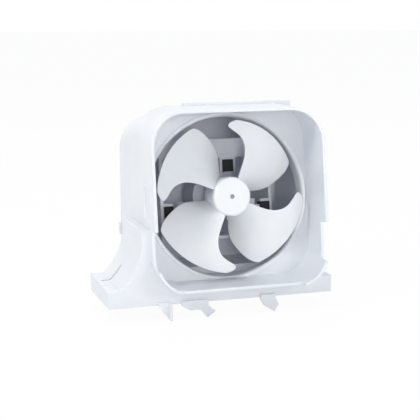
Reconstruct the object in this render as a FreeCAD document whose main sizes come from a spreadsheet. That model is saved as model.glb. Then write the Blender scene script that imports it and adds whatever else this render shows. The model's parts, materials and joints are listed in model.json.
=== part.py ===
"""Refrigerator fan motor: a small electric motor with a four-bladed fan, hung on three rubber
mounts in a white plastic air duct.

Frame: X to the right, Y into the duct, Z up.  The origin lies on the underside of the duct's foot,
below the fan's axis.  The duct's walls stand upright and its floor is level, while its mouth, the
fan and the motor lean back together: they are drawn in a frame of their own, whose z runs from the
plane of the mouth along the fan's axis into the duct and whose y points down, and `lean` moves
them to their place.
"""
import FreeCAD, Part

import math
import os
import re

from FreeCAD import Placement, Rotation, Vector

doc = FreeCAD.newDocument("refrigerator_fan_motor")

# Every size is written once, here.  Lengths are millimetres and angles degrees.
SIZES = [
    # the lean of the mouth, the fan and the motor, and where their axis meets the mouth
    ("fan_lean", 7.9),
    ("axis_height", 74.8),
    ("mouth_reach", 40.3),
    # the duct
    ("duct_half_width", 61),
    ("duct_floor", 11.9),
    ("duct_ceiling", 132.9),
    ("duct_wall", 2),
    ("duct_corner", 22),
    ("duct_back", "=case_depth + case_length - mouth_reach + rear_room"),
    ("rear_room", 11.3),
    ("roof_fall_start", 12),
    ("roof_fall", 10.9),
    # cut-backs in the rim of the mouth
    ("side_cut_low", 26),
    ("side_cut_high", 54),
    ("side_cut_depth", 9.5),
    ("sill_cut_left", 46),
    ("sill_cut_right", 44),
    ("sill_cut_depth", 6),
    # the wall with the round opening that the fan turns in
    ("plate_depth", 35),
    ("plate_thickness", 2),
    ("throat_radius", 57.5),
    ("throat_wall", 2),
    ("throat_length", 12.6),
    ("lip_radius", 60.4),
    ("lip_stand", 0.6),
    ("lip_round", 2.6),
    # the foot with its flared left side
    ("foot_half_depth", 30),
    ("foot_left", 93.7),
    ("foot_right", 70.6),
    ("foot_height", 12),
    ("foot_wall", 2.2),
    ("flare_radius", 45),
    ("flare_height", 46),
    ("flare_face", 69.2),
    ("gusset_height", 53),
    ("gusset_inside", 38),
    ("flare_slot_width", 3.2),
    ("flare_slot_place", 5),
    ("outlet_half_width", 47),
    ("outlet_front", 3),
    ("outlet_back", 27),
    # small forms outside the duct
    ("tab_left", 29),
    ("tab_right", 52),
    ("tab_front", 5),
    ("tab_depth", 5),
    ("tab_height", 1.8),
    ("dimple_depth", 1),
    ("nub_height", 8.5),
    ("nub_stand", 2.2),
    # hooks under the front of the foot
    ("hook_drop", 10.8),
    ("hook_thickness", 2.2),
    # bosses and screws of the rear cover
    ("boss_radius", 5),
    ("boss_length", 20),
    ("boss_inset", 9.6),
    ("cover_thickness", 2),
    ("cover_screw_radius", 1.3),
    ("cover_screw_length", 12),
    ("cover_screw_clearance", 0.4),
    ("cover_head_radius", 3.2),
    ("cover_head_height", 2),
    ("wire_hole_radius", 4.5),
    # the pocket that carries the motor
    ("pocket_depth", "=case_depth - arm_sink"),
    ("arm_sink", 1),
    ("pocket_half_width", 43),
    ("pocket_top", 42),
    ("pocket_bottom", 32),
    ("pocket_wall", 2.2),
    ("window_top", 28),
    # the rubber mounts
    ("mount_half_width", 4),
    ("mount_half_height", 4.5),
    ("mount_length", 8),
    ("mount_stand", 1.5),
    ("side_mount_drop", 10.5),
    ("top_mount_rise", 22),
    ("top_mount_side", 9.5),
    ("seat_wall", 2),
    # the motor's case
    ("case_depth", 61),
    ("case_radius", 18),
    ("case_wall", 1.4),
    ("case_joint", 14),
    ("case_length", 28),
    ("flange_thickness", 2.4),
    ("arm_width", 5),
    ("arm_bite", 5),
    ("front_boss_radius", 6),
    ("front_boss_stand", 4.5),
    ("rear_boss_radius", 5.6),
    ("lug_radius", 3.2),
    ("lug_reach", 14.5),
    ("lug_length", 4),
    ("case_screw_radius", 1.2),
    ("case_screw_bite", 3),
    ("case_head_radius", 2.4),
    ("case_head_height", 1.8),
    # the shaft and its bearings
    ("shaft_radius", 1.585),
    ("shaft_sink", 0.3),
    ("shaft_clearance", 0.03),
    ("bearing_radius", 4),
    ("front_bearing_length", 7),
    ("rear_bearing_length", 6),
    ("end_play", 0.2),
    ("washer_radius", 3.4),
    ("washer_thickness", 0.8),
    # the rotor and the stator
    ("rotor_core_radius", 4.5),
    ("rotor_core_length", 14),
    ("magnet_radius", 7.8),
    ("magnet_length", 12),
    ("air_gap", 0.4),
    ("stack_length", 10),
    ("yoke_width", 2.4),
    ("tooth_width", 4),
    ("shoe_thickness", 1.4),
    ("shoe_width", 9),
    ("sleeve_thickness", 0.8),
    ("winding_thickness", 2),
    ("winding_start", 10),
    ("winding_end", 12.4),
    # the circuit board
    ("board_gap", 0.8),
    ("board_thickness", 1.6),
    ("board_margin", 0.8),
    ("socket_half_width", 6),
    ("socket_top", 9),
    ("socket_bottom", 20),
    ("pin_side", 0.7),
    ("pin_pitch", 3),
    # the fan
    ("hub_depth", 22.4),
    ("hub_radius", 14),
    ("hub_length", 22),
    ("hub_wall", 2),
    ("hub_round", 2),
    ("hub_boss_radius", 4.2),
    ("hub_rib", 1),
    ("clip_thickness", 0.8),
    ("tip_radius", "=throat_radius - tip_clearance"),
    ("tip_clearance", 3),
    ("blade_root_thickness", 2.4),
    ("blade_tip_thickness", 1.5),
    ("blade_front_sink", 0.8),
    ("blade_root_drop", 19.5),
    ("blade_tip_drop", 15.5),
    ("blade_lead_angle", 66.5),
    ("blade_lead_sweep", 24),
    ("blade_tail_angle", 6),
    ("blade_tail_sweep", 15.5),
]
BLADES = 4

sheet = doc.addObject("Spreadsheet::Sheet", "sizes")
for row, (name, value) in enumerate(SIZES, start=1):
    sheet.set("A%d" % row, name)
    sheet.setAlias("B%d" % row, name)
for row, (name, value) in enumerate(SIZES, start=1):
    sheet.set("B%d" % row, str(value))
doc.recompute()

NAMES = {name for name, value in SIZES}


def bound(text):
    """The expression with each size's name pointing at its cell."""
    return re.sub(r"[a-z_]+", lambda m: "sizes." + m.group() if m.group() in NAMES else m.group(), text)


def value(text):
    """The number that an expression of the sheet's sizes gives now."""
    result = sheet.evalExpression(bound(text))
    return float(getattr(result, "Value", result))


def bind(thing, **wanted):
    for key, text in wanted.items():
        thing.setExpression(key.replace("__", "."), bound(str(text)))


def place(thing, x="0", y="0", z="0"):
    bind(thing, Placement__Base__x=x, Placement__Base__y=y, Placement__Base__z=z)
    return thing


def lean(thing, x="0", y="0"):
    """Moves a form from the fan's own frame to its place in the duct."""
    thing.Placement = Placement(Vector(0, 0, 0), Rotation(Vector(-1, 0, 0), 90))
    bind(
        thing,
        Placement__Rotation__Angle="90 + fan_lean",
        Placement__Base__x=x,
        Placement__Base__y="-mouth_reach - (" + y + ") * sin(fan_lean * 1 deg)",
        Placement__Base__z="axis_height - (" + y + ") * cos(fan_lean * 1 deg)",
    )
    return thing


def box(name, x0, x1, y0, y1, z0, z1):
    made = doc.addObject("Part::Box", name)
    bind(made, Length="(%s) - (%s)" % (x1, x0), Width="(%s) - (%s)" % (y1, y0), Height="(%s) - (%s)" % (z1, z0))
    return place(made, x0, y0, z0)


def rod(name, radius, z0, z1, x="0", y="0"):
    """A round bar along z."""
    made = doc.addObject("Part::Cylinder", name)
    bind(made, Radius=radius, Height="(%s) - (%s)" % (z1, z0))
    return place(made, x, y, z0)


def depth_rod(name, radius, y0, y1, x, z):
    """A round bar along y, the depth of the duct."""
    made = doc.addObject("Part::Cylinder", name)
    made.Placement = Placement(Vector(0, 0, 0), Rotation(Vector(1, 0, 0), -90))
    bind(made, Radius=radius, Height="(%s) - (%s)" % (y1, y0))
    return place(made, x, y0, z)


def fuse(name, *things):
    made = doc.addObject("Part::MultiFuse", name)
    made.Shapes = list(things)
    return made


def cut(name, base, *tools):
    made = doc.addObject("Part::Cut", name)
    made.Base = base
    made.Tool = tools[0] if len(tools) == 1 else fuse(name + "_tools", *tools)
    return made


def common(name, first, second):
    made = doc.addObject("Part::MultiCommon", name)
    made.Shapes = [first, second]
    return made


def group(name, thing):
    made = doc.addObject("Part::Compound", name)
    made.Links = [thing]
    return made


def shown(thing, label):
    thing.Label = label
    finished.append(thing)
    return thing


def frame_sketch(name, y, half, low, high, corner):
    """A rounded rectangle across the duct at the depth y."""
    sk = doc.addObject("Sketcher::SketchObject", name)
    sk.Placement = Placement(Vector(0, 0, 0), Rotation(Vector(1, 0, 0), 90))
    place(sk, "0", y, "0")
    a, b, c, r = value(half), value(low), value(high), value(corner)
    ends = [
        (Vector(-a + r, b, 0), Vector(a - r, b, 0)),
        (Vector(a, b + r, 0), Vector(a, c - r, 0)),
        (Vector(a - r, c, 0), Vector(-a + r, c, 0)),
        (Vector(-a, c - r, 0), Vector(-a, b + r, 0)),
    ]
    for start, end in ends:
        sk.addGeometry(Part.LineSegment(start, end), False)
    centres = [(a - r, b + r, -0.5), (a - r, c - r, 0), (-a + r, c - r, 0.5), (-a + r, b + r, 1)]
    for x, z, turn in centres:
        circle = Part.Circle(Vector(x, z, 0), Vector(0, 0, 1), r)
        sk.addGeometry(Part.ArcOfCircle(circle, turn * math.pi, (turn + 0.5) * math.pi), False)
    import Sketcher
    rule = Sketcher.Constraint
    for side in range(4):
        sk.addConstraint(rule("Tangent", side, 2, 4 + side, 1))
        sk.addConstraint(rule("Tangent", 4 + side, 2, (side + 1) % 4, 1))
    sk.addConstraint([rule("Horizontal", 0), rule("Horizontal", 2), rule("Vertical", 1), rule("Vertical", 3)])
    sk.addConstraint([rule("Equal", 4, 5), rule("Equal", 5, 6), rule("Equal", 6, 7)])
    for label, made, text in (
        ("corner", rule("Radius", 4, r), corner),
        ("left", rule("DistanceX", 3, 1, -a), "-(" + half + ")"),
        ("right", rule("DistanceX", 1, 1, a), half),
        ("low", rule("DistanceY", 0, 1, b), low),
        ("high", rule("DistanceY", 2, 1, c), high),
    ):
        index = sk.addConstraint(made)
        sk.renameConstraint(index, label)
        sk.setExpression("Constraints." + label, bound(text))
    return sk


def outline_sketch(sk, corners):
    """Closes a chain of straight lines through corners whose two sizes are expressions."""
    import Sketcher
    rule = Sketcher.Constraint
    points = [Vector(value(x), value(y), 0) for x, y in corners]
    count = len(points)
    for i in range(count):
        sk.addGeometry(Part.LineSegment(points[i], points[(i + 1) % count]), False)
    for i in range(count):
        sk.addConstraint(rule("Coincident", i, 2, (i + 1) % count, 1))
    for i, (x, y) in enumerate(corners):
        for kind, text, size in (("DistanceX", x, points[i].x), ("DistanceY", y, points[i].y)):
            if abs(size) < 1e-9:
                sk.addConstraint(rule("PointOnObject", i, 1, -2 if kind == "DistanceX" else -1))
                continue
            index = sk.addConstraint(rule(kind, i, 1, size))
            label = kind[-1].lower() + str(i)
            sk.renameConstraint(index, label)
            sk.setExpression("Constraints." + label, bound(text))
    return sk


def turned(label, corners, x="0", y="0", final=True):
    """A turned piece on the fan's axis, or beside it: its half section is (radius, depth)."""
    body = doc.addObject("PartDesign::Body", label)
    sk = body.newObject("Sketcher::SketchObject", label + "_section")
    plane = [f for f in body.Origin.OriginFeatures if f.Role == "XZ_Plane"][0]
    sk.AttachmentSupport = [(plane, "")]
    sk.MapMode = "FlatFace"
    outline_sketch(sk, corners)
    doc.recompute()
    turn = body.newObject("PartDesign::Revolution", label + "_turned")
    turn.Profile = sk
    turn.ReferenceAxis = (sk, ["V_Axis"])
    turn.Angle = 360
    if not final:
        return body
    lean(body, x, y)
    return shown(body, label)


def ring(label, inner, outer, z0, z1, x="0", y="0"):
    return turned(label, [(inner, z0), (outer, z0), (outer, z1), (inner, z1)], x, y)


finished = []

# The duct: level floor, upright sides, and a roof that falls away behind the fan.
outer_half = "duct_half_width + duct_wall"
outer_low = "duct_floor - duct_wall"
outer_high = "duct_ceiling + duct_wall"
outer_corner = "duct_corner + duct_wall"
outer_rings = [
    frame_sketch("duct_outside_front", "-mouth_reach - 30", outer_half, outer_low, outer_high, outer_corner),
    frame_sketch("duct_outside_middle", "roof_fall_start", outer_half, outer_low, outer_high, outer_corner),
    frame_sketch("duct_outside_back", "duct_back", outer_half, outer_low, outer_high + " - roof_fall", outer_corner),
]
inner_rings = [
    frame_sketch("duct_inside_front", "-mouth_reach - 32", "duct_half_width", "duct_floor", "duct_ceiling", "duct_corner"),
    frame_sketch("duct_inside_middle", "roof_fall_start", "duct_half_width", "duct_floor", "duct_ceiling", "duct_corner"),
    frame_sketch("duct_inside_back", "duct_back", "duct_half_width", "duct_floor", "duct_ceiling - roof_fall", "duct_corner"),
]
doc.recompute()


def through(name, sections):
    made = doc.addObject("Part::Loft", name)
    made.Sections = sections
    made.Solid = True
    made.Ruled = True
    return made


duct_outside = through("duct_outside", outer_rings)
duct_inside = through("duct_inside", inner_rings)

# The foot: a hollow skirt, open below, whose left side flares out in a hollow curve.
flare_centre = "-flare_face - flare_radius"
foot_block = box("foot_block", "-foot_left", "foot_right", "-foot_half_depth", "foot_half_depth", "0", "foot_height")
gusset_block = box("gusset_block", "-foot_left", "-gusset_inside", "-foot_half_depth", "foot_half_depth", "0", "gusset_height")
flare = depth_rod("flare", "flare_radius", "-foot_half_depth - 5", "foot_half_depth + 5", flare_centre, "flare_height")
flare_top = box("flare_top", flare_centre, "-flare_face", "-foot_half_depth - 5", "foot_half_depth + 5", "flare_height", "gusset_height + 5")
gusset = cut("gusset", gusset_block, flare, flare_top)
foot_outside = fuse("foot_outside", foot_block, gusset)

inside_depth = "foot_half_depth - foot_wall"
foot_hollow = box(
    "foot_hollow", "-foot_left + foot_wall", "foot_right - foot_wall",
    "-(" + inside_depth + ")", inside_depth, "-5", "foot_height - foot_wall",
)
gusset_room = box(
    "gusset_room", "-foot_left + foot_wall", "-gusset_inside",
    "-(" + inside_depth + ")", inside_depth, "-5", "gusset_height - foot_wall",
)
flare_in = depth_rod(
    "flare_in", "flare_radius + foot_wall", "-foot_half_depth - 5", "foot_half_depth + 5", flare_centre, "flare_height",
)
flare_top_in = box(
    "flare_top_in", flare_centre, "-flare_face + foot_wall",
    "-foot_half_depth - 5", "foot_half_depth + 5", "flare_height", "gusset_height + 5",
)
gusset_hollow = cut("gusset_hollow", gusset_room, flare_in, flare_top_in)
foot = cut("foot", foot_outside, foot_hollow, gusset_hollow)

# Small forms on the outside: the upright at the foot's right end, the low tab on the roof and the nub behind.
upright = box("upright", "foot_right", "foot_right + 0.8", "-foot_half_depth", "-foot_half_depth + 12", "0", "foot_height")
roof_tab = box("roof_tab", "-tab_left", "tab_right", "tab_front", "tab_front + tab_depth", "duct_ceiling", outer_high + " + tab_height")
nub = box(
    "nub", "-(" + outer_half + ") - nub_stand", "-duct_half_width - 0.5",
    "duct_back - 5", "duct_back", "gusset_height - 18", "gusset_height - 18 + nub_height",
)


def flat_hook(name, points, y0, thickness):
    """A flat hook cut from sheet, its outline across the duct."""
    sk = doc.addObject("Sketcher::SketchObject", name + "_outline")
    sk.Placement = Placement(Vector(0, 0, 0), Rotation(Vector(1, 0, 0), 90))
    place(sk, "0", y0, "0")
    outline_sketch(sk, points)
    made = doc.addObject("Part::Extrusion", name)
    made.Base = sk
    made.DirMode = "Custom"
    made.Dir = Vector(0, 1, 0)
    bind(made, LengthFwd=thickness)
    made.Solid = True
    return made


hook_face = "-foot_half_depth - hook_thickness"
fin = flat_hook(
    "fin", [("-58.7", "2"), ("-58.7", "0.5"), ("-51", "-hook_drop + 0.6"), ("-49.4", "-hook_drop + 0.6"), ("-49.4", "2")],
    hook_face, "hook_thickness",
)
fin_web = box("fin_web", "-51", "-49.4", hook_face + " - 3", "-foot_half_depth", "-hook_drop + 0.6", "2")
left_hook = flat_hook(
    "left_hook",
    [
        ("-41.7", "2"), ("-41.7", "-1.2"), ("-36.4", "-4.6"), ("-28", "-4.9"), ("-23.2", "-hook_drop"),
        ("-17.3", "-hook_drop + 4"), ("-22.5", "-2"), ("-22.5", "2"),
    ],
    hook_face, "hook_thickness",
)
right_hook = flat_hook(
    "right_hook",
    [("16.5", "2"), ("16.5", "-1.4"), ("19.3", "-6"), ("27", "-hook_drop"), ("29.9", "-hook_drop + 5.4"), ("27.8", "-1"), ("27.8", "2")],
    hook_face, "hook_thickness",
)

shell = cut(
    "shell",
    fuse("blank", duct_outside, foot, upright, roof_tab, nub, fin, fin_web, left_hook, right_hook),
    duct_inside,
)

# The wall across the duct, parallel to the mouth, and its bell mouth.
wall_plate = box(
    "wall_plate", "-duct_half_width - 1", "duct_half_width + 1", "-duct_half_width - 12", "duct_half_width + 12",
    "plate_depth", "plate_depth + plate_thickness",
)
lip_front = "plate_depth - lip_stand"
throat_end = lip_front + " + throat_length"
bell = turned("bell_mouth", [
    ("lip_radius", lip_front), ("lip_radius", "plate_depth + plate_thickness + 0.4"),
    ("throat_radius + throat_wall", "plate_depth + plate_thickness + 0.4"),
    ("throat_radius + throat_wall", throat_end), ("throat_radius", throat_end),
    ("throat_radius", lip_front + " + lip_round"), ("throat_radius + 0.134 * lip_round", lip_front + " + 0.5 * lip_round"),
    ("throat_radius + 0.5 * lip_round", lip_front + " + 0.134 * lip_round"), ("throat_radius + lip_round", lip_front),
], final=False)
wall_bore = rod("wall_bore", "throat_radius + throat_wall / 2", "plate_depth - 1", "plate_depth + plate_thickness + 1")
bell_wall = lean(fuse("bell_wall", cut("wall_bored", wall_plate, wall_bore), bell))
orifice = common("orifice", bell_wall, duct_outside)

# Bosses for the rear cover's screws, in the four corners of the duct's back end.
boss_x = "duct_half_width - boss_inset"
boss_low = "duct_floor + boss_inset"
boss_high = "duct_ceiling - roof_fall - boss_inset"
corners = [("right_low", boss_x, boss_low), ("left_low", "-(" + boss_x + ")", boss_low),
           ("right_high", boss_x, boss_high), ("left_high", "-(" + boss_x + ")", boss_high)]
bosses = fuse("bosses", *[
    depth_rod("boss_" + name, "boss_radius", "duct_back - boss_length", "duct_back", x, z) for name, x, z in corners
])
boss_posts = common("boss_posts", bosses, duct_outside)
boss_holes = [
    depth_rod("boss_hole_" + name, "cover_screw_radius", "duct_back - cover_screw_length", "duct_back + 1", x, z)
    for name, x, z in corners
]

# The mouth: everything in front of the leaning plane goes, and the rim is cut back at both sides and at the sill.
front_cut = box("front_cut", "-200", "200", "-200", "200", "-100", "0")
side_cuts = []
for name, x0, x1 in (("right", "duct_half_width - 1", "duct_half_width + 8"),
                     ("left", "-duct_half_width - 8", "-duct_half_width + 1")):
    side_cuts.append(box(
        "side_cut_" + name, x0, x1, "axis_height - side_cut_high", "axis_height - side_cut_low", "-5", "side_cut_depth",
    ))
sill_cut = box("sill_cut", "-sill_cut_left", "sill_cut_right", "50", "75", "-5", "sill_cut_depth")
rim_cuts = lean(fuse("rim_cuts", front_cut, sill_cut, *side_cuts))

outlet = box("outlet", "-outlet_half_width", "outlet_half_width", "outlet_front", "outlet_back", "2", "duct_floor + 1")
flare_slot = box(
    "flare_slot", "-foot_left + foot_wall + 1", "-flare_face - 6.2",
    "flare_slot_place", "flare_slot_place + flare_slot_width", "foot_height - foot_wall - 1", "flare_height - 14",
)
dimple_box = box(
    "dimple_box", "-(" + outer_half + ") - 1", "-(" + outer_half + ") + dimple_depth", "-29", "-13.5", "66", "81",
)
dimple_end = doc.addObject("Part::Cylinder", "dimple_end")
dimple_end.Placement = Placement(Vector(0, 0, 0), Rotation(Vector(0, 1, 0), 90))
bind(dimple_end, Radius="7.75", Height="dimple_depth + 1")
place(dimple_end, "-(" + outer_half + ") - 1", "-21.25", "66")

shroud = cut(
    "shroud_moulding", fuse("shroud_blank", shell, orifice, boss_posts), rim_cuts, outlet, flare_slot, dimple_box,
    dimple_end, *boss_holes,
)
shown(shroud, "shroud")

# The rear cover closes the duct and carries the pocket that the motor hangs in.
cover_plate = doc.addObject("Part::Extrusion", "cover_plate")
cover_plate.Base = outer_rings[2]
cover_plate.DirMode = "Custom"
cover_plate.Dir = Vector(0, 1, 0)
bind(cover_plate, LengthFwd="cover_thickness")
cover_plate.Solid = True

pocket_block = box("pocket_block", "-pocket_half_width", "pocket_half_width", "-pocket_top", "pocket_bottom", "pocket_depth", "pocket_depth + 60")
pocket_room = box(
    "pocket_room", "-pocket_half_width + pocket_wall", "pocket_half_width - pocket_wall",
    "-pocket_top + pocket_wall", "pocket_bottom - pocket_wall", "pocket_depth + pocket_wall", "pocket_depth + 61",
)
window = box(
    "window", "-pocket_half_width + pocket_wall", "pocket_half_width - pocket_wall",
    "-window_top", "pocket_bottom - pocket_wall", "pocket_depth - 1", "pocket_depth + pocket_wall + 1",
)
mount_front = "pocket_depth - mount_stand"
mount_back = mount_front + " + mount_length"
seat_back = mount_back + " + seat_wall"
side_inner = "pocket_half_width - pocket_wall - 2 * mount_half_width + 1"
seats = [
    box("seat_right", side_inner, "pocket_half_width - 0.5", "side_mount_drop - mount_half_height - seat_wall",
        "side_mount_drop + mount_half_height + seat_wall", "pocket_depth", seat_back),
    box("seat_left", "-pocket_half_width + 0.5", "-(" + side_inner + ")", "side_mount_drop - mount_half_height - seat_wall",
        "side_mount_drop + mount_half_height + seat_wall", "pocket_depth", seat_back),
    box("seat_top", "top_mount_side - mount_half_width - seat_wall", "top_mount_side + mount_half_width + seat_wall",
        "-window_top - 1.5", "-top_mount_rise + mount_half_height", "pocket_depth", seat_back),
]
MOUNTS = {
    "right": (side_inner, "pocket_half_width - pocket_wall", "side_mount_drop - mount_half_height", "side_mount_drop + mount_half_height"),
    "left": ("-(pocket_half_width - pocket_wall)", "-(" + side_inner + ")", "side_mount_drop - mount_half_height", "side_mount_drop + mount_half_height"),
    "top": ("top_mount_side - mount_half_width", "top_mount_side + mount_half_width", "-top_mount_rise - mount_half_height", "-top_mount_rise + mount_half_height"),
}


def mount_block(name, side):
    x0, x1, y0, y1 = MOUNTS[side]
    return box(name, x0, x1, y0, y1, mount_front, mount_back)


pocket_shell = cut("pocket_shell", pocket_block, pocket_room, window)
pocket = lean(cut(
    "pocket", fuse("pocket_blank", pocket_shell, *seats), *[mount_block("seat_gap_" + side, side) for side in MOUNTS],
))
front_of_cover = box("front_of_cover", "-100", "100", "-100", "duct_back + 0.5", "-50", "200")
cover_holes = [
    depth_rod("cover_hole_" + name, "cover_screw_radius + cover_screw_clearance", "duct_back - 1", "duct_back + cover_thickness + 1", x, z)
    for name, x, z in corners
]
wire_hole = depth_rod("wire_hole", "wire_hole_radius", "duct_back - 1", "duct_back + cover_thickness + 1", "26", "42")
cover = cut(
    "cover_moulding", fuse("cover_blank", cover_plate, common("pocket_trimmed", pocket, front_of_cover)), *cover_holes, wire_hole,
)
shown(cover, "back_cover")

for name, x, z in corners:
    body = doc.addObject("PartDesign::Body", "cover_screw_" + name)
    sk = body.newObject("Sketcher::SketchObject", "cover_screw_section_" + name)
    sk.AttachmentSupport = [([f for f in body.Origin.OriginFeatures if f.Role == "XY_Plane"][0], "")]
    sk.MapMode = "FlatFace"
    head_face = "duct_back + cover_thickness"
    outline_sketch(sk, [
        ("0", "duct_back - cover_screw_length"), ("cover_screw_radius", "duct_back - cover_screw_length"),
        ("cover_screw_radius", head_face), ("cover_head_radius", head_face),
        ("cover_head_radius", head_face + " + 0.6 * cover_head_height"),
        ("0.6 * cover_head_radius", head_face + " + cover_head_height"), ("0", head_face + " + cover_head_height"),
    ])
    doc.recompute()
    turn = body.newObject("PartDesign::Revolution", "cover_screw_turned_" + name)
    turn.Profile = sk
    turn.ReferenceAxis = (sk, ["V_Axis"])
    turn.Angle = 360
    place(body, x, "0", z)
    shown(body, "cover_screw_" + name)

# The motor's case: two cups that meet on a plane across the axis; the front one has arms for the mounts.
joint = "case_depth + case_joint"
case_end = "case_depth + case_length"
arm_low = "side_mount_drop - arm_width / 2"
arm_high = "side_mount_drop + arm_width / 2"
arm_back = "case_depth + flange_thickness"
lugs = [("low", "-lug_reach", "lug_reach"), ("high", "lug_reach", "-lug_reach")]
front_forms = [
    rod("front_cup", "case_radius", "case_depth", joint),
    rod("front_boss", "front_boss_radius", "case_depth - front_boss_stand", "case_depth + 5"),
    box("cross_arm", "-(" + side_inner + ") - arm_bite", side_inner + " + arm_bite", arm_low, arm_high, "case_depth", arm_back),
    box("cross_flange", "-case_radius - 12", "case_radius + 12", "side_mount_drop - 7", "side_mount_drop + 6", "case_depth", arm_back),
    box("top_arm", "top_mount_side - arm_width / 2", "top_mount_side + arm_width / 2",
        "-top_mount_rise + mount_half_height - arm_bite", "0", "case_depth", arm_back),
]
front_forms += [rod("front_lug_" + n, "lug_radius", joint + " - lug_length", joint, x, y) for n, x, y in lugs]
bearing_front = "case_depth - front_boss_stand + 1.5"
front_case = lean(cut(
    "front_case_made", fuse("front_case_blank", *front_forms),
    rod("front_room", "case_radius - case_wall", arm_back, joint + " + 1"),
    rod("front_bearing_seat", "bearing_radius", bearing_front, arm_back + " + 4"),
    rod("front_shaft_way", "shaft_radius + 0.8", "case_depth - front_boss_stand - 1", bearing_front + " + 1"),
    *[rod("front_lug_hole_" + n, "case_screw_radius", joint + " - case_screw_bite", joint + " + 1", x, y) for n, x, y in lugs],
))
shown(front_case, "motor_front_case")

core_front = bearing_front + " + front_bearing_length + end_play + washer_thickness"
core_back = core_front + " + rotor_core_length"
rear_bearing_front = core_back + " + washer_thickness + end_play"
rear_bearing_back = rear_bearing_front + " + rear_bearing_length"
inner_wall = case_end + " - case_wall - 0.2"
board_front = core_back + " + washer_thickness + board_gap"
board_back = board_front + " + board_thickness"
rear_cup = cut(
    "rear_cup", rod("rear_cup_block", "case_radius", joint, case_end),
    rod("rear_room", "case_radius - case_wall", joint + " - 1", inner_wall),
)
rear_case = lean(cut(
    "rear_case_made",
    fuse("rear_case_blank", rear_cup, rod("rear_boss", "rear_boss_radius", rear_bearing_front + " - 0.4", inner_wall + " + 0.5"),
         *[rod("rear_lug_" + n, "lug_radius", joint, joint + " + lug_length", x, y) for n, x, y in lugs]),
    rod("rear_bearing_seat", "bearing_radius", rear_bearing_front + " - 1", rear_bearing_back),
    box("socket_way", "-socket_half_width", "socket_half_width", "case_radius - case_wall - 5", "case_radius + 5", board_back, inner_wall),
    *[rod("rear_lug_hole_" + n, "case_screw_radius + 0.2", joint + " - 1", joint + " + lug_length + 1", x, y) for n, x, y in lugs],
))
shown(rear_case, "motor_rear_case")

for n, x, y in lugs:
    under = joint + " + lug_length"
    turned("case_screw_" + n, [
        ("0", joint + " - case_screw_bite"), ("case_screw_radius", joint + " - case_screw_bite"),
        ("case_screw_radius", under), ("case_head_radius", under),
        ("case_head_radius", under + " + 0.6 * case_head_height"),
        ("0.6 * case_head_radius", under + " + case_head_height"), ("0", under + " + case_head_height"),
    ], x, y)

# Rubber mounts, each a block slipped over the end of an arm.
ARMS = {
    "right": (side_inner + " - 1", side_inner + " + arm_bite", arm_low, arm_high),
    "left": ("-(" + side_inner + ") - arm_bite", "-(" + side_inner + ") + 1", arm_low, arm_high),
    "top": ("top_mount_side - arm_width / 2", "top_mount_side + arm_width / 2",
            "-top_mount_rise + mount_half_height - arm_bite", "-top_mount_rise + mount_half_height + 1"),
}
for side, (x0, x1, y0, y1) in ARMS.items():
    block = mount_block("mount_block_" + side, side)
    slot = box("mount_slot_" + side, x0, x1, y0, y1, "case_depth", arm_back)
    shown(lean(cut("mount_" + side + "_made", block, slot)), "rubber_mount_" + side)

# The shaft, its sleeve bearings and the rotor.
ring("front_bearing", "shaft_radius + shaft_clearance", "bearing_radius", bearing_front, bearing_front + " + front_bearing_length")
ring("rear_bearing", "shaft_radius + shaft_clearance", "bearing_radius", rear_bearing_front, rear_bearing_back)
shaft_front = "hub_depth + shaft_sink"
shaft_back = rear_bearing_back + " - 0.5"
turned("shaft", [
    ("0", shaft_front), ("shaft_radius - 0.3", shaft_front), ("shaft_radius", shaft_front + " + 0.3"),
    ("shaft_radius", shaft_back + " - 0.3"), ("shaft_radius - 0.3", shaft_back), ("0", shaft_back),
])
ring("front_washer", "shaft_radius", "washer_radius", core_front + " - washer_thickness", core_front)
ring("rear_washer", "shaft_radius", "washer_radius", core_back, core_back + " + washer_thickness")
ring("rotor_core", "shaft_radius", "rotor_core_radius", core_front, core_back)
middle = core_front + " + rotor_core_length / 2"
ring("rotor_magnet", "rotor_core_radius", "magnet_radius", middle + " - magnet_length / 2", middle + " + magnet_length / 2")

# The stator: a laminated ring with four teeth, the insulating frame on it and a winding round each tooth.
bore_radius = "magnet_radius + air_gap"
stack_front = middle + " - stack_length / 2"
stack_back = middle + " + stack_length / 2"
yoke = cut(
    "yoke", rod("yoke_outside", "case_radius - case_wall", stack_front, stack_back),
    rod("yoke_inside", "case_radius - case_wall - yoke_width", stack_front + " - 1", stack_back + " + 1"),
)


def crossed(name, reach, half, z0, z1):
    """Two bars crossed on the axis."""
    return fuse(
        name, box(name + "_along", "-(" + reach + ")", reach, "-(" + half + ")", half, z0, z1),
        box(name + "_across", "-(" + half + ")", half, "-(" + reach + ")", reach, z0, z1),
    )


teeth = crossed("teeth", "case_radius - case_wall - yoke_width / 2", "tooth_width / 2", stack_front, stack_back)
shoes = common(
    "shoes", rod("shoe_round", bore_radius + " + shoe_thickness", stack_front, stack_back),
    crossed("shoe_bars", "case_radius", "shoe_width / 2", stack_front, stack_back),
)
stator = lean(cut(
    "stator_made", fuse("stator_blank", yoke, teeth, shoes), rod("stator_bore", bore_radius, stack_front + " - 1", stack_back + " + 1"),
))
shown(stator, "stator_core")

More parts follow.
